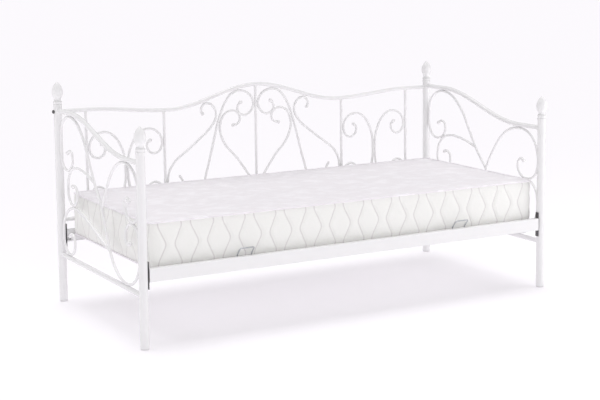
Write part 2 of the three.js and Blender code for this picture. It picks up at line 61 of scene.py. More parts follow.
def linear(code):
    """The linear colour of an sRGB hex value."""
    parts = [int(code[i : i + 2], 16) / 255 for i in (0, 2, 4)]
    return (*(c / 12.92 if c <= 0.04045 else ((c + 0.055) / 1.055) ** 2.4 for c in parts), 1)


def add_node(material, kind, inputs=None, **settings):
    """Adds a shader node. Each input is a plain value or another node's output."""
    node = material.node_tree.nodes.new(kind)
    for key, value in settings.items():
        setattr(node, key, value)
    for socket, value in (inputs or {}).items():
        if isinstance(value, bpy.types.NodeSocket):
            material.node_tree.links.new(value, node.inputs[socket])
        else:
            node.inputs[socket].default_value = value
    return node


def new_finish(name, **values):
    """A material with its shader's own sockets set, and the object's coordinates to draw patterns by."""
    material = bpy.data.materials.new(name)
    material.use_nodes = True
    shader = material.node_tree.nodes["Principled BSDF"]
    for socket, value in values.items():
        shader.inputs[socket.replace("_", " ")].default_value = value
    return material, shader, add_node(material, "ShaderNodeTexCoord").outputs["Object"]


def join(material, output, shader, socket):
    material.node_tree.links.new(output, shader.inputs[socket])


def baked_enamel():
    """Gloss white powder coat on steel: a fine orange peel breaks the reflections, and the white drifts
    very slightly with the coat's thickness."""
    material, shader, place = new_finish("baked_enamel", Roughness=0.26, IOR=1.5)
    drift = add_node(
        material, "ShaderNodeTexNoise", {"Vector": place, "Scale": 1 / MOTTLE_SIZE, "Detail": 2.0}
    )
    tone = add_node(material, "ShaderNodeValToRGB", {"Fac": drift.outputs["Fac"]})
    tone.color_ramp.elements[0].color = linear(ENAMEL_WHITE)
    tone.color_ramp.elements[1].color = linear(ENAMEL_THICK)
    join(material, tone.outputs["Color"], shader, "Base Color")
    peel = add_node(material, "ShaderNodeTexNoise", {"Vector": place, "Scale": 1 / PEEL_SIZE, "Detail": 1.0})
    bump = add_node(
        material, "ShaderNodeBump", {"Height": peel.outputs["Fac"], "Strength": 0.12, "Distance": 0.00008}
    )
    join(material, bump.outputs["Normal"], shader, "Normal")
    return material


enamel = baked_enamel()


def finished(mesh, name, material, body="frame", stands_for=()):
    """Turns a bmesh into a piece of the bed with smooth faces, its finish and its body."""
    bmesh.ops.recalc_face_normals(mesh, faces=mesh.faces[:])
    data = bpy.data.meshes.new(name)
    mesh.to_mesh(data)
    mesh.free()
    data.materials.append(material)
    for face in data.polygons:
        face.use_smooth = True
    data.set_sharp_from_angle(angle=math.radians(38))
    piece = bpy.data.objects.new(name, data)
    bpy.context.scene.collection.objects.link(piece)
    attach(piece, body)
    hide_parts(*stands_for)
    return piece


def middle(node):
    low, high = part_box(node)
    return (low + high) / 2


def turned(profile, centre, sides=TUBE_SIDES):
    """A turned piece: the profile's (radius, height) points spun about an upright axis."""
    mesh = bmesh.new()
    points = [mesh.verts.new((r, 0, z)) for r, z in profile]
    edges = [mesh.edges.new(pair) for pair in zip(points, points[1:])]
    bmesh.ops.spin(
        mesh, geom=points + edges, axis=(0, 0, 1), cent=(0, 0, 0), angle=math.tau, steps=sides, use_merge=True
    )
    bmesh.ops.remove_doubles(mesh, verts=mesh.verts[:], dist=1e-6)
    bmesh.ops.translate(mesh, vec=centre, verts=mesh.verts[:])
    return mesh


def post_profile(low, high):
    """The tube's wall, outside and inside, with its rims just broken."""
    outer, inner = POST_RADIUS, POST_RADIUS - POST_WALL
    return [
        (inner, low + RIM_BEVEL),
        (inner + RIM_BEVEL, low),
        (outer - RIM_BEVEL, low),
        (outer, low + RIM_BEVEL),
        (outer, high - RIM_BEVEL),
        (outer - RIM_BEVEL, high),
        (inner + RIM_BEVEL, high),
        (inner, high - RIM_BEVEL),
        (inner, low + RIM_BEVEL),
    ]


for row_name in ROWS:
    for side_name, _ in SIDES:
        node = f"post_{row_name}_{side_name}"
        low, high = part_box(node)
        axis = Vector((middle(node).x, middle(node).y, 0))
        mesh = turned(post_profile(low.z, high.z), axis)
        finished(mesh, f"post_tube_{row_name}_{side_name}", enamel, stands_for=[node])

# ---------------------------------------------------------------- finials
# Turned steel buds, pressed into the tops of the posts: a collar with a fine groove, a short waist, and a bud
# that rises to a soft point. They are coated with the frame.
FINIAL_COLLAR = (
    (0.0205, 0.0003), (0.0208, 0.0012), (0.0208, 0.0072), (0.0204, 0.0082), (0.0183, 0.0090),
    (0.0183, 0.0136), (0.0202, 0.0146), (0.0207, 0.0165), (0.0207, 0.0185), (0.0202, 0.0205),
    (0.0188, 0.0222),
)
FINIAL_BUD = (
    (0.0166, 0.0250), (0.0155, 0.0290), (0.0158, 0.0330), (0.0176, 0.0375), (0.0212, 0.0440),
    (0.0240, 0.0520), (0.0254, 0.0605), (0.0253, 0.0690), (0.0240, 0.0780), (0.0211, 0.0865),
    (0.0165, 0.0948), (0.0110, 0.1022), (0.0062, 0.1074), (0.0029, 0.1108), (0.0012, 0.1118), (0, 0.1120),
)


def spline(points, step):
    """A smooth line through the points, with a station about every step along it."""
    ends = [2 * points[0] - points[1], *points, 2 * points[-1] - points[-2]]
    line = []
    for a, b, c, d in zip(ends, ends[1:], ends[2:], ends[3:]):
        t1 = (b - a).length ** 0.5
        t2 = t1 + (c - b).length ** 0.5
        t3 = t2 + (d - c).length ** 0.5
        stations = max(1, round((c - b).length / step))
        for i in range(stations):
            t = t1 + (t2 - t1) * i / stations
            ab = a + (b - a) * (t / t1)
            bc = b + (c - b) * ((t - t1) / (t2 - t1))
            cd = c + (d - c) * ((t - t2) / (t3 - t2))
            abc = ab + (bc - ab) * (t / t2)
            bcd = bc + (cd - bc) * ((t - t1) / (t3 - t1))
            line.append(abc + (bcd - abc) * ((t - t1) / (t2 - t1)))
    return [*line, points[-1].copy()]


bud = [(p.x, p.y) for p in spline([Vector(p) for p in FINIAL_BUD], 0.0016)]
for row_name in ROWS:
    for side_name, _ in SIDES:
        node = f"finial_{row_name}_{side_name}"
        seat = middle(node)
        seat.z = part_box(f"post_{row_name}_{side_name}")[1].z
        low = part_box(node)[0].z - seat.z
        plug = [(0, low), (POST_RADIUS - POST_WALL - 0.0003, low), (POST_RADIUS - POST_WALL - 0.0003, 0.0003)]
        mesh = turned([*plug, *FINIAL_COLLAR, *bud], seat)
        finished(mesh, f"finial_bud_{row_name}_{side_name}", enamel, stands_for=[node])

# ---------------------------------------------------------------- floor glides
# Moulded polythene plugs pressed into the feet of the posts. Only a rounded rim shows under each tube.
GLIDE_WHITE = "E4E3E4"
GLIDE_EDGE = 0.0015


def moulded_polythene():
    """Natural white polythene: dull, faintly translucent, with a fine moulded grain."""
    material, shader, place = new_finish(
        "moulded_polythene", Base_Color=linear(GLIDE_WHITE), Roughness=0.5, IOR=1.51, Subsurface_Weight=0.1
    )
    shader.inputs["Subsurface Radius"].default_value = (0.002, 0.002, 0.002)
    grain = add_node(material, "ShaderNodeTexNoise", {"Vector": place, "Scale": 900.0, "Detail": 3.0})
    bump = add_node(
        material, "ShaderNodeBump", {"Height": grain.outputs["Fac"], "Strength": 0.3, "Distance": 0.0001}
    )
    join(material, bump.outputs["Normal"], shader, "Normal")
    return material


polythene = moulded_polythene()
for row_name in ROWS:
    for side_name, _ in SIDES:
        node = f"foot_{row_name}_{side_name}"
        low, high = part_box(node)
        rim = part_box(f"post_{row_name}_{side_name}")[0].z - 0.0003
        plug = POST_RADIUS - POST_WALL - 0.0004
        profile = [
            (0, 0), (POST_RADIUS - 2 * GLIDE_EDGE, 0), (POST_RADIUS - GLIDE_EDGE / 2, GLIDE_EDGE / 2),
            (POST_RADIUS, 2 * GLIDE_EDGE), (POST_RADIUS, rim - GLIDE_EDGE / 2),
            (POST_RADIUS - GLIDE_EDGE / 2, rim), (plug, rim), (plug, high.z - GLIDE_EDGE),
            (plug - GLIDE_EDGE, high.z), (0, high.z),
        ]
        mesh = turned(profile, Vector((middle(node).x, middle(node).y, 0)))
        finished(
            mesh, f"glide_{row_name}_{side_name}", polythene, stands_for=[node]
        )

# ---------------------------------------------------------------- tubes and rods of the panels
# Bent steel tube and 12 mm rod. Each rod is cold rolled round a former, its free end forged to a round
# button, and it is arc welded wherever it meets a tube or another rod.
ROD_RADIUS = 0.006
BUTTON_RADIUS = 0.0095
BUTTON_NECK = 0.0225  # over which the rod swells into its button
ROD_SIDES = 14
WELD_SWELL = 0.0016  # how far a weld stands out round a rod's end
WELD_RUN = 0.006
WELD_GAP = 0.0015  # rods that run this near each other are welded together
BEAD_HALF = (0.012, 0.0048, 0.0048)  # half a weld bead's length, width and height
BEAD_ROUGHNESS = 0.0005
BEAD_RIPPLES = 300  # per metre
NECK_SWELL = 0.0012  # how much the neck gains on the rod
STATION = 0.006
TUBE_BEND_SIDES = 28


def swept(line, radii, normal, sides):
    """A round section carried along a flat line, with a closed end at each side."""
    mesh = bmesh.new()
    ring = bmesh.ops.create_circle(mesh, cap_ends=True, segments=sides, radius=1)["verts"]
    edges = mesh.edges[:]
    was = Matrix.Identity(4)
    for i, point in enumerate(line):
        along = (line[min(i + 1, len(line) - 1)] - line[max(i - 1, 0)]).normalized()
        across = normal.cross(along).normalized()
        turn = Matrix((across, normal, along)).transposed().to_4x4()
        place = Matrix.Translation(point) @ turn @ Matrix.Diagonal((radii[i], radii[i], 1, 1))
        if i:
            grown = bmesh.ops.extrude_edge_only(mesh, edges=edges)["geom"]
            ring = [part for part in grown if isinstance(part, bmesh.types.BMVert)]
            new = set(ring)
            edges = [
                part
                for part in grown
                if isinstance(part, bmesh.types.BMEdge) and part.verts[0] in new and part.verts[1] in new
            ]
        bmesh.ops.transform(mesh, matrix=place @ was.inverted(), verts=ring)
        was = place
    bmesh.ops.contextual_create(mesh, geom=edges)
    return mesh


def lengths(line):
    """How far along the line each of its stations lies."""
    steps = [(b - a).length for a, b in zip(line, line[1:])]
    return np.concatenate([[0], np.cumsum(steps)])


def rod_radii(line, radius, buttons):
    """The rod's radius at each station: a button at a free end, a weld's swell at a fixed one."""
    along = lengths(line)
    radii = np.full(len(line), radius)
    for end, distance in ((0, along), (-1, along[-1] - along)):
        if end in buttons:
            ball = np.sqrt(np.clip(BUTTON_RADIUS**2 - (distance - BUTTON_RADIUS) ** 2, 0, None))
            share = np.clip((BUTTON_NECK - distance) / (BUTTON_NECK - 2 * BUTTON_RADIUS), 0, 1)
            neck = radius + NECK_SWELL * share**2
            radii = np.where(distance < BUTTON_RADIUS, np.maximum(ball, 0.0006), np.maximum(neck, ball))
            radii = np.where(distance > BUTTON_NECK, radius, radii)
        else:
            radii = radii + WELD_SWELL * np.exp(-((distance / WELD_RUN) ** 2))
    return radii


def rod(points, normal, radius=ROD_RADIUS, buttons=(), sides=ROD_SIDES, step=STATION):
    line = spline(points, step)
    for end, way in ((0, 1), (-1, -1)):  # finer stations where a button's crown is turned
        if end in buttons:
            tip = line[end]
            inward = (line[end + way] - tip).normalized()
            crown = [tip + inward * BUTTON_RADIUS * share for share in (0.06, 0.2, 0.42, 0.7)]
            line = [line[0], *crown, *line[2:]] if end == 0 else [*line[:-2], *reversed(crown), line[-1]]
    return swept(line, rod_radii(line, radius, buttons), normal, sides), line


def weld_beads(lines, reach):
    """A bead of weld wherever two of the lines run within reach of each other, laid along them."""
    mesh = bmesh.new()
    clouds = [np.array(line, float) for line in lines]
    for i, one in enumerate(clouds):
        for other in clouds[i + 1 :]:
            gaps = np.linalg.norm(one[:, None] - other[None], axis=2)
            near = np.flatnonzero(gaps.min(1) < reach)
            for run in np.split(near, np.flatnonzero(np.diff(near) > 4) + 1):
                if not len(run):
                    continue
                a = run[gaps[run].min(1).argmin()]
                b = gaps[a].argmin()
                along = Vector(one[min(a + 1, len(one) - 1)] - one[max(a - 1, 0)])
                turn = along.to_track_quat("X", "Z").to_matrix().to_4x4()
                bead = bmesh.ops.create_icosphere(mesh, subdivisions=3, radius=1)["verts"]
                size = Matrix.Diagonal((*BEAD_HALF, 1))
                place = Matrix.Translation(Vector((one[a] + other[b]) / 2)) @ turn @ size
                bmesh.ops.transform(mesh, matrix=place, verts=bead)
                for vert in bead:
                    vert.co += BEAD_ROUGHNESS * noise.noise_vector(vert.co * BEAD_RIPPLES)
    return mesh


# ---------------------------------------------------------------- end panels
# Each end is welded up from a swept top tube, a straight bottom tube and five scroll rods, between a rear and
# a front post. Outlines run forward from the rear post's axis, with their heights above the floor.
END_TUBE_RADIUS = 0.011
END_STATIONS = 40
ALONG = Vector((1, 0, 0))
SWOOP = (0.17, 0.82)  # the stretch of the top tube that falls, as shares of the end's span
END_SCROLLS = (
    ("upper_rear", ((522, 522), (445, 608), (370, 720), (322, 790), (240, 858), (150, 879), (78, 860),
     (38, 815), (27, 755), (30, 690), (56, 645), (100, 630), (150, 645), (176, 682), (165, 715), (134, 722),
     (106, 704))),
    ("upper_front", ((522, 522), (580, 615), (648, 697), (715, 738), (790, 751), (856, 737), (904, 697),
     (928, 640), (929, 580), (908, 535), (866, 513), (817, 517), (784, 547), (780, 584), (803, 606),
     (833, 592))),
    ("lower_front", ((522, 522), (545, 467), (567, 415), (590, 365), (622, 316), (668, 273), (727, 247),
     (790, 240), (852, 256), (901, 300), (928, 360), (929, 425), (908, 478), (866, 502), (817, 497),
     (784, 467), (780, 430), (803, 408), (833, 423))),
    ("middle_rear", ((437, 618), (360, 640), (290, 652), (225, 655), (160, 638), (122, 602), (106, 555),
     (112, 510), (143, 481), (188, 482), (220, 513), (218, 550), (190, 570), (160, 560))),
    ("lower_rear", ((603, 345), (520, 374), (440, 402), (360, 430), (280, 453), (200, 466), (120, 453),
     (58, 408), (29, 345), (38, 285), (78, 247), (132, 244), (171, 277), (171, 320), (138, 341),
     (108, 322))),
)

post_rear = middle("post_rear_left")
post_front = middle("post_front_left")
end_span = post_rear.y - post_front.y
rear_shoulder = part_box("end_top_tube_left")[1].z - END_TUBE_RADIUS
front_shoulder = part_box("end_top_tube_left")[0].z + END_TUBE_RADIUS


def swoop_height(across):
    """The height of an end's top tube, a share of the way from the rear post to the front one."""
    fall = min(max((across - SWOOP[0]) / (SWOOP[1] - SWOOP[0]), 0), 1)
    return (rear_shoulder + front_shoulder + (rear_shoulder - front_shoulder) * math.cos(math.pi * fall)) / 2


for side_name, side in SIDES:
    plane = side * abs(post_rear.x)
    lines = []
    for name, outline in END_SCROLLS:
        points = [Vector((plane, post_rear.y - u / 1000, z / 1000)) for u, z in outline]
        mesh, line = rod(points, ALONG, buttons=(-1,))
        lines.append(line)
        finished(mesh, f"rod_{name}_{side_name}", enamel, stands_for=[f"scroll_{name}_{side_name}"])

    top = [
        Vector((plane, post_rear.y - end_span * i / END_STATIONS, swoop_height(i / END_STATIONS)))
        for i in range(END_STATIONS + 1)
    ]
    mesh = swept(top, [END_TUBE_RADIUS] * len(top), ALONG, TUBE_BEND_SIDES)
    finished(mesh, f"swept_tube_{side_name}", enamel, stands_for=[f"end_top_tube_{side_name}"])

    height = middle(f"end_bottom_tube_{side_name}").z
    low_line = [Vector((plane, point.y, height)) for point in top]
    mesh = swept(low_line, [END_TUBE_RADIUS] * len(low_line), ALONG, TUBE_BEND_SIDES)
    finished(mesh, f"stretcher_{side_name}", enamel, stands_for=[f"end_bottom_tube_{side_name}"])

    beads = weld_beads(lines, 2 * ROD_RADIUS + WELD_GAP)
    finished(beads, f"end_welds_{side_name}", enamel)

# ---------------------------------------------------------------- back panel
# The back bolts between the two rear posts: a camel-backed top tube, a straight bottom tube, five thin
# uprights and ten scroll rods, mirrored about the middle one. Outlines run outwards from the middle.
BACK_TUBE_RADIUS = 0.0095
BACK_STATIONS = 110
UPRIGHT_RADIUS = 0.0065
UPRIGHT_SIDES = 20
UPRIGHT_SINK = 0.002  # how far an upright runs into each tube
CREST_SHARE = 0.95  # the crown's foot, as a share of the way to the inner upright
INNER_SCROLLS = (
    ("crest", (-1,), ((318, 390), (285, 508), (256, 610), (222, 738), (203, 802), (171, 876), (134, 920),
     (87, 934), (37, 915), (13, 874), (24, 833), (60, 811), (97, 828), (98, 860), (76, 881))),
    ("heart", (-1,), ((3, 452), (40, 507), (109, 603), (168, 667), (197, 735), (194, 785), (171, 824),
     (133, 838), (99, 824), (88, 794), (104, 769), (136, 763))),
    ("sweep", (0, -1), ((420, 539), (402, 507), (401, 455), (423, 414), (457, 408), (479, 443), (482, 500),
     (475, 557), (445, 607), (345, 682), (256, 755), (222, 803), (221, 843), (247, 876), (281, 879),
     (299, 853), (288, 822))),
)
C_MIDDLE = 590
C_HALF = ((8, 50), (22, 105), (55, 161), (100, 188), (147, 181), (178, 150), (184, 110), (168, 78), (138, 69),
          (111, 88), (108, 119), (131, 138))
C_STEM = ROD_RADIUS * 1000 + 0.3  # half of a back-to-back pair's spacing

back_y = middle("back_bottom_tube").y
inner_upright = middle("upright_inner_right").x
outer_upright = middle("upright_outer_right").x
back_low, back_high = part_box("back_top_tube")
crest = back_high.z - BACK_TUBE_RADIUS
dip = back_low.z + BACK_TUBE_RADIUS
shoulder = middle("back_bolt_left").z
back_floor = middle("back_bottom_tube").z
post_x = abs(post_rear.x)


def camel_height(x):
    """The height of the back's top tube: a crown in the middle, hollows beside it, level at the posts."""
    hollow = CREST_SHARE * inner_upright
    if abs(x) < hollow:
        return (crest + dip + (crest - dip) * math.cos(math.pi * abs(x) / hollow)) / 2
    rise = min((abs(x) - hollow) / (outer_upright - hollow), 1)
    return (shoulder + dip - (shoulder - dip) * math.cos(math.pi * rise)) / 2


def back_points(outline, mirror, centre=0.0, turn=1):
    return [Vector((mirror * (centre + turn * x / 1000), back_y, z / 1000)) for x, z in outline]


ACROSS = Vector((0, 1, 0))
camel = [-post_x + 2 * post_x * i / BACK_STATIONS for i in range(BACK_STATIONS + 1)]
camel_line = [Vector((x, back_y, camel_height(x))) for x in camel]
mesh = swept(camel_line, [BACK_TUBE_RADIUS] * len(camel_line), ACROSS, TUBE_BEND_SIDES)
finished(mesh, "camel_tube", enamel, stands_for=["back_top_tube"])
low_line = [Vector((x, back_y, back_floor)) for x in camel]
mesh = swept(low_line, [BACK_TUBE_RADIUS] * len(low_line), ACROSS, TUBE_BEND_SIDES)
finished(mesh, "back_rail_tube", enamel, stands_for=["back_bottom_tube"])

UPRIGHTS = ("outer_left", "inner_left", "centre", "inner_right", "outer_right")
upright_lines = []
for name in UPRIGHTS:
    x = middle(f"upright_{name}").x
    foot = Vector((x, back_y, back_floor + BACK_TUBE_RADIUS - UPRIGHT_SINK))
    head = Vector((x, back_y, camel_height(x) - BACK_TUBE_RADIUS + UPRIGHT_SINK))
    mesh, line = rod([foot, foot.lerp(head, 0.5), head], ACROSS, radius=UPRIGHT_RADIUS, sides=UPRIGHT_SIDES)
    upright_lines.append(line)
    finished(mesh, f"upright_rod_{name}", enamel, stands_for=[f"upright_{name}"])

scroll_lines = []
for mirror_name, mirror in SIDES:
    made = [(name, buttons, back_points(outline, mirror)) for name, buttons, outline in INNER_SCROLLS]
    for turn_name, turn in (("inner", -1), ("outer", 1)):
        upper = [(x, C_MIDDLE + z) for x, z in C_HALF]
        lower = [(x, C_MIDDLE - z) for x, z in reversed(C_HALF)]
        outline = [*lower, (C_STEM, C_MIDDLE), *upper]
        centre = (inner_upright + outer_upright) / 2
        made.append((f"bay_{turn_name}", (0, -1), back_points(outline, mirror, centre, turn)))
    for name, buttons, points in made:
        mesh, line = rod(points, ACROSS, buttons=buttons)
        scroll_lines.append(line)
        finished(mesh, f"rod_{name}_{mirror_name}", enamel, stands_for=[f"scroll_{name}_{mirror_name}"])

beads = weld_beads(scroll_lines, 2 * ROD_RADIUS + WELD_GAP)
finished(beads, "back_welds", enamel)

# ---------------------------------------------------------------- bolts of the back
# Two button-head bolts, blacked and worn grey, pass through the rear posts into threaded plugs in the back's
# top tube.
# Each head is domed, with a round socket sunk in its crown.
# also the hook plates' colour, where its darkness partly paints in the shade of the gap at each post
OXIDE_BLACK = "636467"
OXIDE_BROWN = "716C68"
BOLT_HEAD_RADIUS = 0.009
BOLT_HEAD_THICK = 0.007
BOLT_SHANK_RADIUS = 0.0038
BOLT_SIDES = 36
SOCKET_RADIUS = 0.0034
SOCKET_DEPTH = 0.003


def black_oxide_and_gap_shade():
    """Hot black oxide on steel, handled until it is a mid grey satin that turns faintly brown in patches."""
    material, shader, place = new_finish("black_oxide_and_gap_shade", Metallic=0.75, Roughness=0.42)
    patch = add_node(material, "ShaderNodeTexNoise", {"Vector": place, "Scale": 140.0, "Detail": 4.0})
    ramp = add_node(material, "ShaderNodeValToRGB", {"Fac": patch.outputs["Fac"]})
    ramp.color_ramp.elements[0].color = linear(OXIDE_BLACK)
    ramp.color_ramp.elements[0].position = 0.4
    ramp.color_ramp.elements[1].color = linear(OXIDE_BROWN)
    ramp.color_ramp.elements[1].position = 0.75
    join(material, ramp.outputs["Color"], shader, "Base Color")
    bump = add_node(
        material, "ShaderNodeBump", {"Height": patch.outputs["Fac"], "Strength": 0.2, "Distance": 0.0001}
    )
    join(material, bump.outputs["Normal"], shader, "Normal")
    return material


oxide_and_gap_shade = black_oxide_and_gap_shade()
for side_name, side in SIDES:
    node = f"back_bolt_{side_name}"
    low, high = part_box(node)
    tip = BOLT_HEAD_THICK - (high.x - low.x)
    profile = [
        (0, BOLT_HEAD_THICK - SOCKET_DEPTH), (SOCKET_RADIUS, BOLT_HEAD_THICK - SOCKET_DEPTH),
        (SOCKET_RADIUS, BOLT_HEAD_THICK), (BOLT_HEAD_RADIUS * 0.62, BOLT_HEAD_THICK),
        (BOLT_HEAD_RADIUS * 0.88, BOLT_HEAD_THICK * 0.72), (BOLT_HEAD_RADIUS, BOLT_HEAD_THICK * 0.34),
        (BOLT_HEAD_RADIUS, 0), (BOLT_SHANK_RADIUS, 0), (BOLT_SHANK_RADIUS, tip), (0, tip),
    ]
    mesh = turned(profile, Vector((0, 0, 0)), sides=BOLT_SIDES)
    under_head = low.x + BOLT_HEAD_THICK if side < 0 else high.x - BOLT_HEAD_THICK
    seat = Vector((under_head, middle(node).y, middle(node).z))
    turn = Matrix.Rotation(side * math.pi / 2, 4, "Y")
    bmesh.ops.transform(mesh, matrix=Matrix.Translation(seat) @ turn, verts=mesh.verts[:])
    finished(mesh, f"button_bolt_{side_name}", oxide_and_gap_shade, stands_for=[node])

# ---------------------------------------------------------------- side rails and hook plates
# Folded steel rails, seam welded and powder coated. A blacked hook plate is welded to each end, and its two
# hooks drop into the post's slots; the plates' dark oxide also paints in the shade of the gap between each
# plate and its post. Folds and cut edges are slightly rounded.
FOLD_RADIUS = 0.0022
PLATE_EDGE = 0.0006


def dressed(node, material, edge):
    """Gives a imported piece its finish, and rounds its folds and edges."""
    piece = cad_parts[node]
    piece.data.materials.clear()
    piece.data.materials.append(material)
    weld = piece.modifiers.new("merge", "WELD")
    weld.merge_threshold = 1e-5
    bevel = piece.modifiers.new("edges", "BEVEL")
    bevel.width = edge
    bevel.segments = 3
    bevel.limit_method = "ANGLE"
    bevel.harden_normals = True
    bevel.use_clamp_overlap = True
    return piece


for row_name in ROWS:
    dressed(f"side_rail_{row_name}", enamel, FOLD_RADIUS)
    for side_name, _ in SIDES:
        # painted shade: the hook plates' dark oxide also stands in for the shadow in the gap between plate
        # and post
        dressed(f"hook_plate_{row_name}_{side_name}", oxide_and_gap_shade, PLATE_EDGE)

# ---------------------------------------------------------------- base grid
# Two square steel runners lie on the rails' ledges, with flat steel strips welded across them.
dressed("base_grid", enamel, PLATE_EDGE)

# ---------------------------------------------------------------- mattress stops
# Bent 6 mm wire, bright zinc plated, plugged into the front runner. Each leans out over the rail and keeps
# the mattress from sliding off the front.
ZINC_LIGHT = "D3D5D8"
ZINC_DARK = "A9ACB0"
WIRE_RADIUS = 0.003
WIRE_BEND = 0.009
WIRE_RISE = 0.004  # how far it stands straight above the rail before it leans
WIRE_SIDES = 16


def zinc_plate():
    """Bright zinc plate on drawn wire: pale metal with a fine bluish mottle."""
    material, shader, place = new_finish("zinc_plate", Metallic=1.0, Roughness=0.3)
    mottle = add_node(material, "ShaderNodeTexNoise", {"Vector": place, "Scale": 220.0, "Detail": 3.0})
    ramp = add_node(material, "ShaderNodeValToRGB", {"Fac": mottle.outputs["Fac"]})
    ramp.color_ramp.elements[0].color = linear(ZINC_DARK)
    ramp.color_ramp.elements[1].color = linear(ZINC_LIGHT)
    join(material, ramp.outputs["Color"], shader, "Base Color")
    return material


zinc = zinc_plate()
rail_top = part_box("side_rail_front")[1].z
for side_name, side in SIDES:
    node = f"mattress_stop_{side_name}"
    low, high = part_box(node)
    left, right = low.x + WIRE_RADIUS, high.x - WIRE_RADIUS
    back, front = high.y - WIRE_RADIUS, low.y + WIRE_RADIUS
    corners = [
        Vector((left, back, low.z)), Vector((left, back, rail_top + WIRE_RISE)),
        Vector((left, front, high.z - WIRE_RADIUS)), Vector((right, front, high.z - WIRE_RADIUS)),
        Vector((right, back, rail_top + WIRE_RISE)), Vector((right, back, low.z)),
    ]
    line = [corners[0]]
    for before, corner, after in zip(corners, corners[1:], corners[2:]):
        into = corner + (before - corner).normalized() * WIRE_BEND
        out = corner + (after - corner).normalized() * WIRE_BEND
        for share in (0, 0.2, 0.4, 0.6, 0.8, 1):
            line.append(into.lerp(corner, share).lerp(corner.lerp(out, share), share))
    line.append(corners[-1])
    lean = (corners[2] - corners[1]).normalized()
    normal = Vector((0, -lean.z, lean.y))
    mesh = swept(line, [WIRE_RADIUS] * len(line), normal, WIRE_SIDES)
    finished(mesh, f"wire_stop_{side_name}", zinc, stands_for=[node])

# ---------------------------------------------------------------- mattress
# A sprung foam core in a sewn cover: a jacquard knit top and base, and a border quilted with an ogee lattice
# on wadding. Bound seams run round the top and the bottom edges, and the panels swell between them.
CORNER_RADIUS = 0.032
EDGE_RADIUS = 0.016
COVER_CELL = 0.02
SWELL_CAP = 0.006  # how far the panels may swell past the core
FILL_STEPS = 20
OGEE_PERIOD = 0.148  # one wide and one narrow cell along the border
OGEE_SWAY = 0.015  # how far each stitch line sways
OGEE_HEIGHT = 0.165  # one sway, up the border
QUILT_LOFT = 0.0042
STITCH_WIDTH = 0.009  # the furrow on each side of a stitch line
BORDER_HEM = 0.012  # flat strip beside each bound seam
TOP_LOFT = 0.0018
TOP_WAVE = 0.11
KNIT_WHITE = "EFEBEF"
KNIT_SLUB = "F7F4F8"
BORDER_WHITE = "F3F3F0"
# painted shade: the colour the border is darkened to along each stitch line, in place of the shadow in its
# furrow
STITCH_FURROW_PAINTED_SHADE = "E0DDDC"
KNIT_RIB = 0.0026
SLUB_LENGTH = 0.055
SLUB_WIDTH = 0.0045
BINDING_RADIUS = 0.0042

pad_low, pad_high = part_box("mattress")
pad_middle = (pad_low + pad_high) / 2
pad_half = (pad_high - pad_low) / 2


def cover_slab():
    """The unfilled cover: a slab of even cells, rounded in plan and along its edges, a cap's depth inside the
    space that the mattress fills."""
    half = pad_half - Vector((SWELL_CAP, SWELL_CAP, 0.0015))
    mesh = bmesh.new()
    bmesh.ops.create_cube(mesh, size=2)
    bmesh.ops.scale(mesh, vec=half, verts=mesh.verts[:])
    for axis in range(3):
        edges = [e for e in mesh.edges if abs((e.verts[0].co - e.verts[1].co)[axis]) > half[axis]]
        cuts = round(2 * half[axis] / COVER_CELL) - 1
        bmesh.ops.subdivide_edges(mesh, edges=edges, cuts=cuts, use_grid_fill=True)
    for vert in mesh.verts:
        x, y, z = vert.co
        inset = min(half.x - abs(x), half.y - abs(y))
        over = Vector((max(abs(x) - half.x + CORNER_RADIUS, 0), max(abs(y) - half.y + CORNER_RADIUS, 0)))
        outward = Vector((1.0, 0.0)) if over.x >= over.y else Vector((0.0, 1.0))
        if over.x > 0 and over.y > 0:
            rounded = over.normalized() * max(over)
            x = math.copysign(half.x - CORNER_RADIUS + rounded.x, x)
            y = math.copysign(half.y - CORNER_RADIUS + rounded.y, y)
            outward = over.normalized()
        side = max(EDGE_RADIUS - inset, 0)
        rise = max(abs(z) - half.z + EDGE_RADIUS, 0)
        if side > 0 and rise > 0:
            bend = max(side, rise) / math.hypot(side, rise)
            x -= math.copysign(outward.x * side * (1 - bend), x)
            y -= math.copysign(outward.y * side * (1 - bend), y)
            z = math.copysign(half.z - EDGE_RADIUS + rise * bend, z)
        vert.co = Vector((x, y, z)) + pad_middle
    return mesh


def new_object(mesh, name):
    data = bpy.data.meshes.new(name)
    mesh.to_mesh(data)
    mesh.free()
    piece = bpy.data.objects.new(name, data)
    bpy.context.scene.collection.objects.link(piece)
    return piece


def coordinates(data):
    flat = np.empty(len(data.vertices) * 3)
    data.vertices.foreach_get("co", flat)
    return flat.reshape(-1, 3)


def baked(piece):
    """The piece's mesh with its modifiers applied."""
    layer = bpy.context.evaluated_depsgraph_get()
    data = bpy.data.meshes.new_from_object(piece.evaluated_get(layer))
    piece.modifiers.clear()
    piece.data = data
    return piece


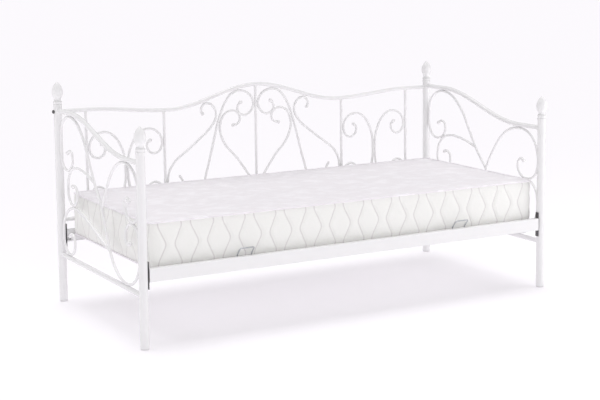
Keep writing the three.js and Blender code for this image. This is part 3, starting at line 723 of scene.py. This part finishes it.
def inflated(piece):
    """Fills the cover: its base and its seams are held while the cloth swells between them."""
    start = coordinates(piece.data)
    held = piece.vertex_groups.new(name="held")
    seam = np.abs(np.abs(start[:, 2] - pad_middle.z) - pad_half.z + EDGE_RADIUS / 2) < EDGE_RADIUS * 0.45
    base = start[:, 2] < pad_low.z + 0.004
    held.add([int(i) for i in np.flatnonzero(seam | base)], 1.0, "REPLACE")
    cloth = piece.modifiers.new("filling", "CLOTH")
    cloth.settings.quality = 4
    cloth.settings.mass = 0.4
    cloth.settings.tension_stiffness = 12
    cloth.settings.compression_stiffness = 12
    cloth.settings.bending_stiffness = 2
    cloth.settings.use_pressure = True
    cloth.settings.uniform_pressure_force = 4
    cloth.settings.vertex_group_mass = "held"
    cloth.settings.effector_weights.gravity = 0
    cloth.point_cache.frame_start = 1
    cloth.point_cache.frame_end = FILL_STEPS
    for step in range(1, FILL_STEPS + 1):
        bpy.context.scene.frame_set(step)
    baked(piece)
    bpy.context.scene.frame_set(1)
    end = coordinates(piece.data)
    move = end - start
    far = np.linalg.norm(move, axis=1, keepdims=True)
    end = start + move * np.minimum(1, SWELL_CAP / np.maximum(far, 1e-9))
    piece.data.vertices.foreach_set("co", end.ravel())
    return piece


def round_the_border(x, y):
    """How far round the border a point of it lies, from the middle of the front, in metres."""
    flat = np.array([pad_half.x - CORNER_RADIUS, pad_half.y - CORNER_RADIUS])
    arc = CORNER_RADIUS * math.pi / 2
    angle = np.arctan2(np.abs(y) - flat[1], np.abs(x) - flat[0]).clip(0, math.pi / 2)
    on_corner = (np.abs(x) > flat[0]) & (np.abs(y) > flat[1])
    on_end = (np.abs(x) > flat[0]) & ~on_corner
    quarter = np.where(
        on_corner,
        flat[0] + CORNER_RADIUS * (math.pi / 2 - angle),
        np.where(on_end, flat[0] + arc + flat[1] - np.abs(y), np.minimum(np.abs(x), flat[0])),
    )
    half_way = 2 * (flat[0] + arc + flat[1])
    return np.where(x > 0, 1, -1) * np.where(y > 0, half_way - quarter, quarter)


def stitch_distance(around, height):
    """How far along the border a point lies from the nearest stitch line of the ogee lattice."""
    turn = 2 * math.pi * height / OGEE_HEIGHT
    sway = OGEE_SWAY * (np.cos(turn) + np.cos(3 * turn) / 14)
    from_cell = np.abs((around % OGEE_PERIOD) - OGEE_PERIOD / 2)
    return np.abs(from_cell - OGEE_PERIOD / 4 - sway)


def smooth_share(value):
    value = np.clip(value, 0, 1)
    return value * value * (3 - 2 * value)


slab = new_object(cover_slab(), "mattress_cover")
inflated(slab)
finer = slab.modifiers.new("finer", "SUBSURF")
finer.levels = finer.render_levels = 1
baked(slab)

mesh = bmesh.new()
mesh.from_mesh(slab.data)
border = [
    e
    for e in mesh.edges
    if all(abs(v.co.z - pad_middle.z) < pad_half.z - EDGE_RADIUS * 0.3 for v in e.verts)
]
bmesh.ops.subdivide_edges(mesh, edges=border, cuts=1, use_grid_fill=True)
mesh.normal_update()
points = np.array([v.co for v in mesh.verts])
normals = np.array([v.normal for v in mesh.verts])
height = points[:, 2] - pad_middle.z
around = round_the_border(points[:, 0], points[:, 1])
outward = smooth_share((1 - np.abs(normals[:, 2]) - 0.3) / 0.4)
from_seam = smooth_share((pad_half.z - EDGE_RADIUS - BORDER_HEM - np.abs(height)) / BORDER_HEM)
quilt = QUILT_LOFT * (1 - np.exp(-((stitch_distance(around, height) / STITCH_WIDTH) ** 2)) - 0.8)
drift = np.array([noise.noise(Vector(p) / TOP_WAVE) for p in points])
lift = outward * from_seam * quilt + (1 - outward) * TOP_LOFT * drift * (height > 0)
points = points + normals * lift[:, None]
room = np.array([pad_half.x, pad_half.y, pad_half.z]) + 0.004
points = np.clip(points, np.array(pad_middle) - room, np.array(pad_middle) + room)
for vert, point in zip(mesh.verts, points):
    vert.co = point
layout = mesh.loops.layers.uv.new("cover")
mesh.verts.index_update()
for face in mesh.faces:
    upright = abs(face.normal.z) < 0.6
    start = around[face.loops[0].vert.index]
    for loop in face.loops:
        here = loop.vert.index
        if upright:  # the border's own strip, with the wrap at the back kept on one side of a face
            u = around[here]
            if abs(u - start) > OGEE_PERIOD:
                u = abs(u) * math.copysign(1, start)
            loop[layout].uv = (u, height[here])
        else:
            loop[layout].uv = (points[here][0], points[here][1])


def jacquard_knit():
    """White knitted ticking with a faint lilac cast: fine ribs, and short lengthwise slubs of brighter yarn
    that stand a little proud."""
    material, shader, place = new_finish(
        "jacquard_knit", Roughness=0.85, Sheen_Weight=0.25, Sheen_Roughness=0.5, Specular_IOR_Level=0.25
    )
    stretch = add_node(
        material, "ShaderNodeMapping", {"Vector": place, "Scale": (1 / SLUB_LENGTH, 1 / SLUB_WIDTH, 20.0)}
    )
    yarn = add_node(
        material, "ShaderNodeTexNoise", {"Vector": stretch.outputs["Vector"], "Scale": 1.0, "Detail": 1.5}
    )
    cloud = add_node(material, "ShaderNodeTexNoise", {"Vector": place, "Scale": 14.0, "Detail": 2.0})
    both = add_node(
        material,
        "ShaderNodeMath",
        {0: yarn.outputs["Fac"], 1: cloud.outputs["Fac"]},
        operation="ADD",
    )
    slub = add_node(
        material,
        "ShaderNodeMapRange",
        {"Value": both.outputs["Value"], "From Min": 0.99, "From Max": 1.13},
        interpolation_type="SMOOTHSTEP",
    )
    ramp = add_node(material, "ShaderNodeValToRGB", {"Fac": slub.outputs["Result"]})
    ramp.color_ramp.elements[0].color = linear(KNIT_WHITE)
    ramp.color_ramp.elements[1].color = linear(KNIT_SLUB)
    join(material, ramp.outputs["Color"], shader, "Base Color")
    rib = add_node(
        material,
        "ShaderNodeTexWave",
        {"Vector": place, "Scale": 0.314 / KNIT_RIB, "Distortion": 1.5, "Detail": 1.0, "Detail Scale": 2.0},
        bands_direction="Y",
    )
    fine = add_node(
        material, "ShaderNodeBump", {"Height": rib.outputs["Fac"], "Strength": 0.35, "Distance": 0.0004}
    )
    raised = add_node(
        material,
        "ShaderNodeBump",
        {
            "Height": slub.outputs["Result"],
            "Strength": 0.6,
            "Distance": 0.0012,
            "Normal": fine.outputs["Normal"],
        },
    )
    join(material, raised.outputs["Normal"], shader, "Normal")
    return material


def quilted_border():
    """White knit on wadding, sewn through in an ogee lattice: a painted shade darkens the border along each
    stitch line, standing in for the shadow in its furrow, and the wadding puckers beside it."""
    material, shader, place = new_finish(
        "quilted_border", Roughness=0.85, Sheen_Weight=0.25, Sheen_Roughness=0.5, Specular_IOR_Level=0.25
    )
    layout = add_node(material, "ShaderNodeUVMap", uv_map="cover")
    strip = add_node(material, "ShaderNodeSeparateXYZ", {"Vector": layout.outputs["UV"]})

    def reckon(operation, first, second=0.0):
        node = add_node(material, "ShaderNodeMath", {0: first, 1: second}, operation=operation)
        return node.outputs["Value"]

    turn = reckon("MULTIPLY", strip.outputs["Y"], 2 * math.pi / OGEE_HEIGHT)
    third = reckon("DIVIDE", reckon("COSINE", reckon("MULTIPLY", turn, 3.0)), 14.0)
    sway = reckon("MULTIPLY", reckon("ADD", reckon("COSINE", turn), third), OGEE_SWAY)
    wrapped = reckon("FLOORED_MODULO", strip.outputs["X"], OGEE_PERIOD)
    from_cell = reckon("ABSOLUTE", reckon("SUBTRACT", wrapped, OGEE_PERIOD / 2))
    line = reckon("ADD", sway, OGEE_PERIOD / 4)
    away = reckon("ABSOLUTE", reckon("SUBTRACT", from_cell, line))
    # painted shade mask: 1 along each stitch line's furrow, fading to 0 a few millimetres away
    furrow_painted_shade = add_node(
        material,
        "ShaderNodeMapRange",
        {"Value": away, "From Min": 0.0008, "From Max": 0.0048, "To Min": 1.0, "To Max": 0.0},
        interpolation_type="SMOOTHSTEP",
    )
    # the border's white, painted darker along the furrows as their shadow
    ramp = add_node(material, "ShaderNodeValToRGB", {"Fac": furrow_painted_shade.outputs["Result"]})
    ramp.color_ramp.elements[0].color = linear(BORDER_WHITE)
    ramp.color_ramp.elements[1].color = linear(STITCH_FURROW_PAINTED_SHADE)
    join(material, ramp.outputs["Color"], shader, "Base Color")
    pucker = add_node(
        material, "ShaderNodeTexNoise", {"Vector": place, "Scale": 90.0, "Detail": 2.0, "Distortion": 0.6}
    )
    rib = add_node(
        material,
        "ShaderNodeTexWave",
        {"Vector": place, "Scale": 0.314 / KNIT_RIB, "Distortion": 1.0, "Detail": 1.0},
        bands_direction="Z",
    )
    soft = add_node(
        material, "ShaderNodeBump", {"Height": pucker.outputs["Fac"], "Strength": 0.6, "Distance": 0.0035}
    )
    fine = add_node(
        material,
        "ShaderNodeBump",
        {
            "Height": rib.outputs["Fac"],
            "Strength": 0.25,
            "Distance": 0.0004,
            "Normal": soft.outputs["Normal"],
        },
    )
    join(material, fine.outputs["Normal"], shader, "Normal")
    return material


knit = jacquard_knit()
for face in mesh.faces:
    face.material_index = int(abs(face.normal.z) < 0.6)
    face.smooth = True
mesh.to_mesh(slab.data)
mesh.free()
slab.data.materials.append(knit)
slab.data.materials.append(quilted_border())
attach(slab, "mattress")
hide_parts("mattress")


def binding(height, name):
    """The folded tape over a seam, right round the mattress."""
    inset = SWELL_CAP + EDGE_RADIUS * 0.29
    reach = pad_half - Vector((inset, inset, 0))
    radius = CORNER_RADIUS - EDGE_RADIUS * 0.29
    line = []
    for mirror_x, mirror_y, first in ((1, -1, -90), (1, 1, 0), (-1, 1, 90), (-1, -1, 180)):
        for share in range(0, 91, 6):
            angle = math.radians(first + share)
            corner = Vector((mirror_x * (reach.x - radius), mirror_y * (reach.y - radius), height))
            line.append(corner + radius * Vector((math.cos(angle), math.sin(angle), 0)))
    line = [line[-1].lerp(line[0], 0.5), *line, line[-1].lerp(line[0], 0.5)]
    centre = Vector((pad_middle.x, pad_middle.y, 0))
    mesh = swept([p + centre for p in line], [BINDING_RADIUS] * len(line), Vector((0, 0, 1)), 12)
    return finished(mesh, name, knit, body="mattress")


seam_drop = EDGE_RADIUS * 0.36
binding(pad_high.z - seam_drop, "binding_top")
binding(pad_low.z + seam_drop, "binding_bottom")

# ---------------------------------------------------------------- studio
# A matt white floor, lit through from below as a light table is, under a pale dome. A wide soft light hangs
# high over the back, and three soft boxes stand round the bed: one past each end and a large one in front.
FLOOR_WHITE = "FFFDFD"
FLOOR_DULL = "C8C6CB"  # what the floor itself gives back
FLOOR_GLOW = 0.44
FLOOR_REACH = 60.0
OVERHEAD_POWER = 1.86
OVERHEAD_SPREAD = 50.0
OVERHEAD_TILT = -10.0  # from straight overhead, towards the back
HORIZON_WHITE = "FEFBFF"
ZENITH_GREY = "9C9B9C"
HORIZON_BAND = (0.06, 0.20)  # where the sky starts to darken and stops, as heights on a unit dome
EYE = Vector((-3.1906, -5.6168, 1.5979))
EYE_TURN = (-29.46, -7.20, -0.6)  # to the right, down and rolled, in degrees
LENS = 83.7
SHIFT_DOWN = -0.1167

bpy.context.scene.view_settings.view_transform = "Standard"

mesh = bmesh.new()
bmesh.ops.create_circle(mesh, cap_ends=True, segments=64, radius=FLOOR_REACH)
floor = new_object(mesh, "floor")
sheet, _, _ = new_finish(
    "floor_sheet",
    Base_Color=linear(FLOOR_DULL),
    Roughness=0.9,
    Specular_IOR_Level=0.0,
    Emission_Color=linear(FLOOR_WHITE),
    Emission_Strength=FLOOR_GLOW,
)
floor.data.materials.append(sheet)

world = bpy.data.worlds.new("sky")
world.use_nodes = True
direction = add_node(world, "ShaderNodeTexCoord").outputs["Generated"]
rise = add_node(world, "ShaderNodeSeparateXYZ", {"Vector": direction}).outputs["Z"]
dome = add_node(world, "ShaderNodeValToRGB", {"Fac": rise})
for stop, position, colour in zip(dome.color_ramp.elements, HORIZON_BAND, (HORIZON_WHITE, ZENITH_GREY)):
    stop.position = position
    stop.color = linear(colour)
join(world, dome.outputs["Color"], world.node_tree.nodes["Background"], "Color")
bpy.context.scene.world = world


def soft_box(name, place, aim, size, power):
    light = bpy.data.lights.new(name, "AREA")
    light.shape = "RECTANGLE"
    light.size, light.size_y = size
    light.energy = power
    lamp = bpy.data.objects.new(name, light)
    lamp.location = place
    lamp.rotation_mode = "QUATERNION"
    lamp.rotation_quaternion = (Vector(aim) - Vector(place)).to_track_quat("-Z", "Y")
    lamp.visible_camera = False
    bpy.context.scene.collection.objects.link(lamp)


soft_box("left_box", (-2.9, 0.6, 1.0), (-1.0, 0, 0.5), (1.8, 1.8), 6)
soft_box("right_box", (3.0, -2.0, 1.1), (1.0, -0.3, 0.5), (1.8, 1.8), 27)
soft_box("front_box", (-1.8, -4.9, 1.8), (0, -0.3, 0.4), (2.6, 2.0), 45)

overhead = bpy.data.lights.new("overhead", "SUN")
overhead.energy = OVERHEAD_POWER
overhead.angle = math.radians(OVERHEAD_SPREAD)
lamp = bpy.data.objects.new("overhead", overhead)
lamp.rotation_euler = (math.radians(OVERHEAD_TILT), 0, 0)
bpy.context.scene.collection.objects.link(lamp)

camera = bpy.data.objects.new("camera", bpy.data.cameras.new("camera"))
turn, tilt, roll = (math.radians(angle) for angle in EYE_TURN)
level = Matrix.Rotation(turn, 4, "Z") @ Matrix.Rotation(math.pi / 2 + tilt, 4, "X")
aim = level @ Matrix.Rotation(roll, 4, "Z")
camera.matrix_world = Matrix.Translation(EYE) @ aim
camera.data.lens = LENS
camera.data.shift_y = SHIFT_DOWN
bpy.context.scene.collection.objects.link(camera)
bpy.context.scene.camera = camera
